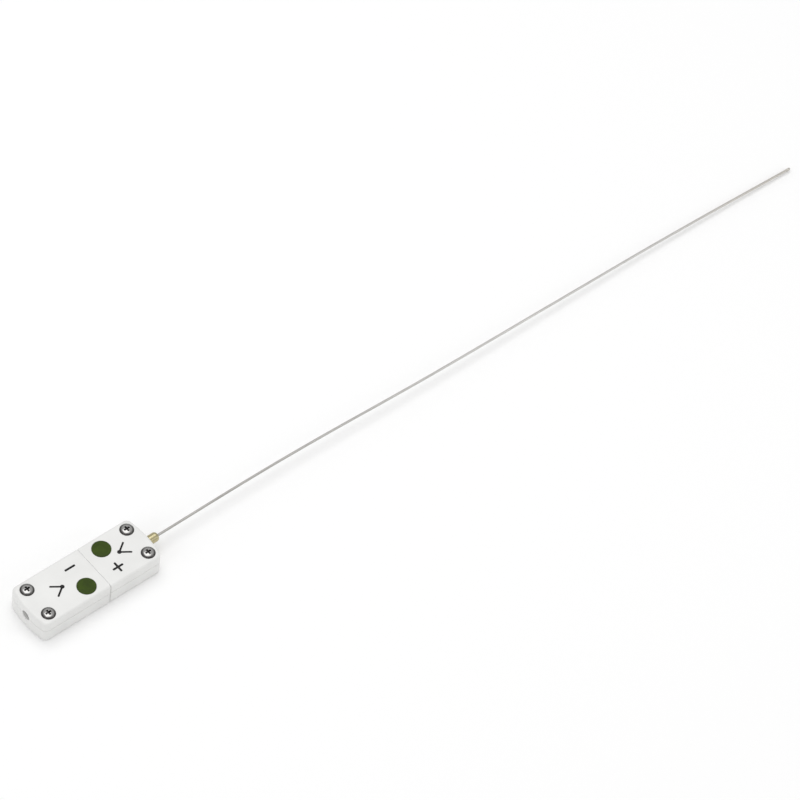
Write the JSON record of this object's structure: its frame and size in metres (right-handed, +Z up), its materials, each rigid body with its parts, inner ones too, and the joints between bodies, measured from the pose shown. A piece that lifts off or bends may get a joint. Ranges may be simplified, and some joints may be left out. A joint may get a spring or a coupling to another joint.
{
  "type": "thermocouple",
  "caption": "Slim bendable metal-sheathed thermocouple probe on a white ceramic flat-blade plug, mated with its loose ceramic socket.",
  "frame": {"origin": "middle of the plug's underside", "axes": "+X along the probe towards its tip, +Z up out of the plug's cover, -Z out of the underside"},
  "size_m": [0.293, 0.0162, 0.0083],
  "materials": {
    "ceramic_white": "fired and lightly glazed, satin",
    "green_enamel": "baked enamel, satin",
    "screw_steel": "polished stainless",
    "plated_steel": "nickel plated",
    "spring_steel": "tempered strip",
    "ferrule_brass": "turned, lightly tarnished",
    "sheath_alloy": "drawn, annealed, satin",
    "positive_alloy": "stamped thermoelement alloy",
    "negative_alloy": "stamped thermoelement alloy",
    "packed_magnesia": "compacted powder, matte",
    "seal_cement": "cast cement, matte",
    "mark_ink": "fired black marking ink"
  },
  "bodies": {
    "plug": {"plug_base": "ceramic_white", "plug_blade_positive": "positive_alloy", "plug_blade_negative": "negative_alloy", "plug_clamp_plate_positive": "plated_steel", "plug_clamp_plate_negative": "plated_steel", "plug_cover_nut_left": "screw_steel", "plug_cover_nut_right": "screw_steel", "probe_ferrule": "ferrule_brass", "probe_sheath": "sheath_alloy", "probe_insulation": "packed_magnesia", "probe_conductor_positive": "positive_alloy", "probe_conductor_negative": "negative_alloy", "hot_junction_bead": "sheath_alloy", "probe_end_cap": "sheath_alloy", "cold_end_seal": "seal_cement"},
    "plug_cover": {"plug_cover": "ceramic_white", "plug_type_dot": "green_enamel"},
    "socket": {"socket_base": "ceramic_white", "socket_contact_positive": "positive_alloy", "socket_contact_negative": "negative_alloy", "socket_contact_spring_positive": "spring_steel", "socket_contact_spring_negative": "spring_steel", "socket_clamp_plate_positive": "plated_steel", "socket_clamp_plate_negative": "plated_steel", "socket_cover_nut_left": "screw_steel", "socket_cover_nut_right": "screw_steel"},
    "socket_cover": {"socket_cover": "ceramic_white", "socket_type_dot": "green_enamel"},
    "plug_cover_screw_left": {"plug_cover_screw_left": "screw_steel"},
    "plug_cover_screw_right": {"plug_cover_screw_right": "screw_steel"},
    "plug_terminal_screw_positive": {"plug_terminal_screw_positive": "plated_steel"},
    "plug_terminal_screw_negative": {"plug_terminal_screw_negative": "plated_steel"},
    "socket_cover_screw_left": {"socket_cover_screw_left": "screw_steel"},
    "socket_cover_screw_right": {"socket_cover_screw_right": "screw_steel"},
    "socket_terminal_screw_positive": {"socket_terminal_screw_positive": "plated_steel"},
    "socket_terminal_screw_negative": {"socket_terminal_screw_negative": "plated_steel"}
  },
  "joints": [
    {"name": "socket_pull", "type": "slide", "parent": "plug", "child": "socket", "axis": [-1, 0, 0], "range_m": [0, 0.016]},
    {"name": "plug_cover_lift", "type": "slide", "parent": "plug", "child": "plug_cover", "axis": [0, 0, 1], "range_m": [0, 0.012]},
    {"name": "socket_cover_lift", "type": "slide", "parent": "socket", "child": "socket_cover", "axis": [0, 0, 1], "range_m": [0, 0.012]},
    {"name": "plug_cover_screw_left_turn", "type": "hinge", "parent": "plug_cover", "child": "plug_cover_screw_left", "pos_m": [0.00595, 0.00495, 0.005], "axis": [0, 0, 1], "continuous": true},
    {"name": "plug_cover_screw_right_turn", "type": "hinge", "parent": "plug_cover", "child": "plug_cover_screw_right", "pos_m": [0.00595, -0.00495, 0.005], "axis": [0, 0, 1], "continuous": true},
    {"name": "plug_terminal_screw_positive_turn", "type": "hinge", "parent": "plug", "child": "plug_terminal_screw_positive", "pos_m": [-0.00075, -0.00395, 0.005], "axis": [0, 0, 1], "continuous": true},
    {"name": "plug_terminal_screw_negative_turn", "type": "hinge", "parent": "plug", "child": "plug_terminal_screw_negative", "pos_m": [-0.00075, 0.00395, 0.005], "axis": [0, 0, 1], "continuous": true},
    {"name": "socket_cover_screw_left_turn", "type": "hinge", "parent": "socket_cover", "child": "socket_cover_screw_left", "pos_m": [-0.02945, -0.00495, 0.005], "axis": [0, 0, 1], "continuous": true},
    {"name": "socket_cover_screw_right_turn", "type": "hinge", "parent": "socket_cover", "child": "socket_cover_screw_right", "pos_m": [-0.02945, 0.00495, 0.005], "axis": [0, 0, 1], "continuous": true},
    {"name": "socket_terminal_screw_positive_turn", "type": "hinge", "parent": "socket", "child": "socket_terminal_screw_positive", "pos_m": [-0.02505, -0.00395, 0.005], "axis": [0, 0, 1], "continuous": true},
    {"name": "socket_terminal_screw_negative_turn", "type": "hinge", "parent": "socket", "child": "socket_terminal_screw_negative", "pos_m": [-0.02505, 0.00395, 0.005], "axis": [0, 0, 1], "continuous": true}
  ]
}
